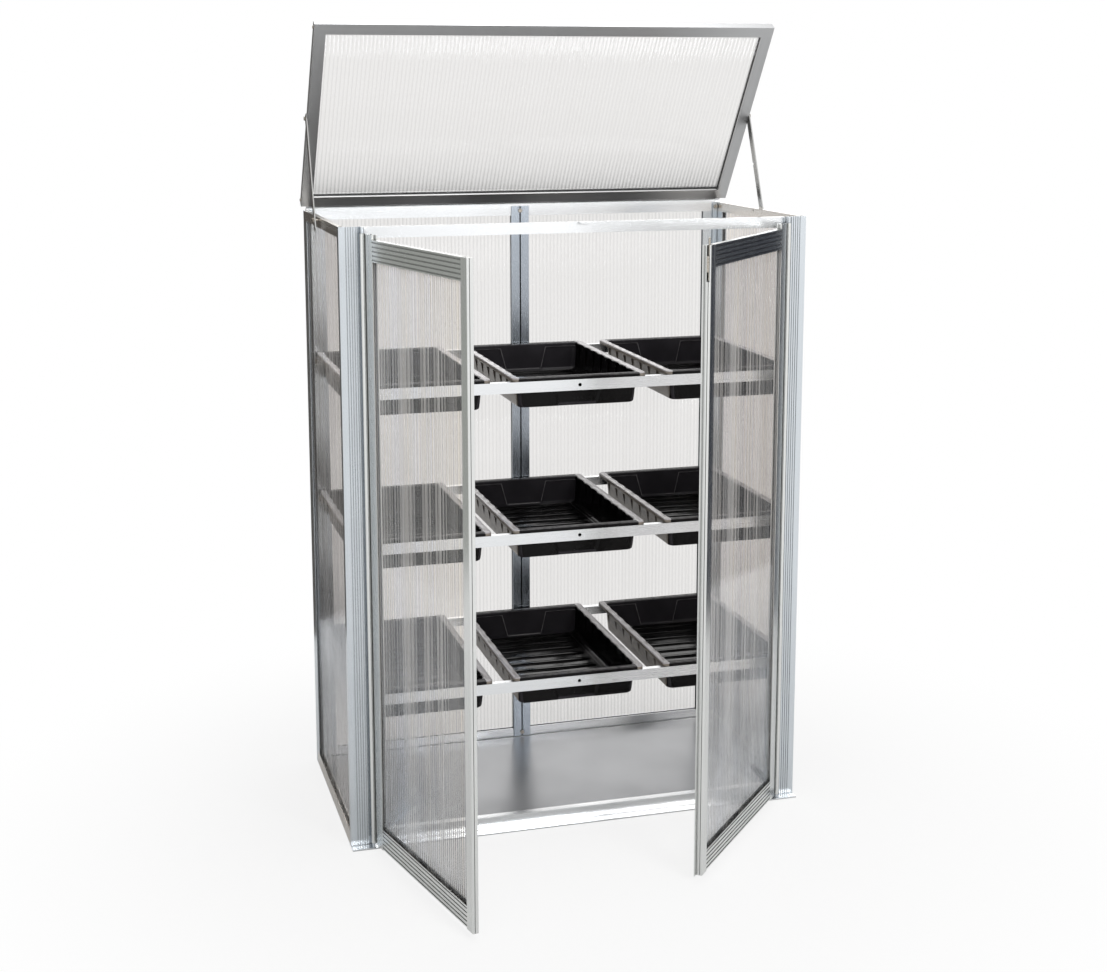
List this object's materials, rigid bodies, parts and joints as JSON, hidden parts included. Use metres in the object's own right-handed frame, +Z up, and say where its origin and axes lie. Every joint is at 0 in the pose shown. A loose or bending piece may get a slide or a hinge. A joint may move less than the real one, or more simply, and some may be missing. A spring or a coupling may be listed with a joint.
{
  "type": "mini greenhouse",
  "caption": "Free-standing aluminium and clear twin-wall sheet greenhouse cabinet with front double doors, hinged lid on stays, shelf rails and hanging black seed trays.",
  "frame": {"origin": "on the ground in the middle of the front, in the plane of the front posts' faces, on the underside of the sill's foot strip", "axes": "+X to the right seen from the front, +Y to the back, +Z up"},
  "size_m": [1.2432, 1.1493, 2.066],
  "materials": {
    "frame_profile": "mill-finish extruded aluminium, satin",
    "door_profile": "mill-finish extruded aluminium, satin, grooved rails",
    "lid_profile": "mill-finish extruded aluminium, satin",
    "stay_bar": "flat aluminium bar",
    "clear_sheet": "clear twin-wall polycarbonate",
    "floor_plate": "smooth grey sheet, satin",
    "tray": "black moulded plastic, slightly glossy",
    "fastener": "zinc-plated steel"
  },
  "bodies": {
    "frame": {"front_left_post": "frame_profile", "front_right_post": "frame_profile", "rear_left_post": "frame_profile", "rear_right_post": "frame_profile", "front_sill": "frame_profile", "rear_bottom_rail": "frame_profile", "left_bottom_rail": "frame_profile", "right_bottom_rail": "frame_profile", "front_top_rail": "frame_profile", "rear_top_rail": "frame_profile", "left_top_rail": "frame_profile", "right_top_rail": "frame_profile", "rear_mullion": "frame_profile", "left_rear_panel": "clear_sheet", "right_rear_panel": "clear_sheet", "left_side_panel": "clear_sheet", "right_side_panel": "clear_sheet", "floor_sheet": "floor_plate", "lower_shelf_front_rail": "frame_profile", "lower_shelf_rear_rail": "frame_profile", "middle_shelf_front_rail": "frame_profile", "middle_shelf_rear_rail": "frame_profile", "upper_shelf_front_rail": "frame_profile", "upper_shelf_rear_rail": "frame_profile", "frame_bolts": "fastener", "shelf_bolts": "fastener"},
    "left_door": {"left_door_hinge_stile": "door_profile", "left_door_free_stile": "door_profile", "left_door_top_rail": "door_profile", "left_door_bottom_rail": "door_profile", "left_door_panel": "clear_sheet", "left_door_screws": "fastener"},
    "right_door": {"right_door_hinge_stile": "door_profile", "right_door_free_stile": "door_profile", "right_door_top_rail": "door_profile", "right_door_bottom_rail": "door_profile", "right_door_panel": "clear_sheet", "right_door_screws": "fastener"},
    "slide_bolt": {"right_door_slide_bolt": "fastener"},
    "lid": {"lid_rear_rail": "lid_profile", "lid_front_rail": "lid_profile", "lid_left_stile": "lid_profile", "lid_right_stile": "lid_profile", "lid_panel": "clear_sheet", "lid_screws": "fastener", "stay_pivot_bolts": "fastener"},
    "left_stay": {"left_stay": "stay_bar", "left_stay_foot_bolt": "fastener"},
    "right_stay": {"right_stay": "stay_bar", "right_stay_foot_bolt": "fastener"},
    "tray_lower_left": {"tray_lower_left": "tray"},
    "tray_lower_centre": {"tray_lower_centre": "tray"},
    "tray_lower_right": {"tray_lower_right": "tray"},
    "tray_middle_left": {"tray_middle_left": "tray"},
    "tray_middle_centre": {"tray_middle_centre": "tray"},
    "tray_middle_right": {"tray_middle_right": "tray"},
    "tray_upper_left": {"tray_upper_left": "tray"},
    "tray_upper_centre": {"tray_upper_centre": "tray"},
    "tray_upper_right": {"tray_upper_right": "tray"}
  },
  "joints": [
    {"name": "left_door_hinge", "type": "hinge", "parent": "frame", "child": "left_door", "pos_m": [-0.5505, -0.0175, 0.785], "axis": [0, 0, -1], "range_deg": [-76.2, 38.8]},
    {"name": "right_door_hinge", "type": "hinge", "parent": "frame", "child": "right_door", "pos_m": [0.5505, -0.0175, 0.785], "axis": [0, 0, 1], "range_deg": [-47.4, 67.6]},
    {"name": "slide_bolt_slide", "type": "slide", "parent": "right_door", "child": "slide_bolt", "axis": [0, 0, 1], "range_m": [-0.002, 0.012]},
    {"name": "lid_hinge", "type": "hinge", "parent": "frame", "child": "lid", "pos_m": [0, 0.59, 1.5835], "axis": [-1, 0, 0], "range_deg": [-55, 40]},
    {"name": "left_stay_pivot", "type": "hinge", "parent": "lid", "child": "left_stay", "pos_m": [-0.6158, 0.42366, 1.82105], "axis": [-1, 0, 0], "range_deg": [-45, 110]},
    {"name": "right_stay_pivot", "type": "hinge", "parent": "lid", "child": "right_stay", "pos_m": [0.6158, 0.42366, 1.82105], "axis": [-1, 0, 0], "range_deg": [-45, 110]},
    {"name": "tray_lower_left_lift", "type": "slide", "parent": "frame", "child": "tray_lower_left", "axis": [0, 0, 1], "range_m": [0, 0.1]},
    {"name": "tray_lower_centre_lift", "type": "slide", "parent": "frame", "child": "tray_lower_centre", "axis": [0, 0, 1], "range_m": [0, 0.1]},
    {"name": "tray_lower_right_lift", "type": "slide", "parent": "frame", "child": "tray_lower_right", "axis": [0, 0, 1], "range_m": [0, 0.1]},
    {"name": "tray_middle_left_lift", "type": "slide", "parent": "frame", "child": "tray_middle_left", "axis": [0, 0, 1], "range_m": [0, 0.1]},
    {"name": "tray_middle_centre_lift", "type": "slide", "parent": "frame", "child": "tray_middle_centre", "axis": [0, 0, 1], "range_m": [0, 0.1]},
    {"name": "tray_middle_right_lift", "type": "slide", "parent": "frame", "child": "tray_middle_right", "axis": [0, 0, 1], "range_m": [0, 0.1]},
    {"name": "tray_upper_left_lift", "type": "slide", "parent": "frame", "child": "tray_upper_left", "axis": [0, 0, 1], "range_m": [0, 0.1]},
    {"name": "tray_upper_centre_lift", "type": "slide", "parent": "frame", "child": "tray_upper_centre", "axis": [0, 0, 1], "range_m": [0, 0.1]},
    {"name": "tray_upper_right_lift", "type": "slide", "parent": "frame", "child": "tray_upper_right", "axis": [0, 0, 1], "range_m": [0, 0.1]}
  ]
}
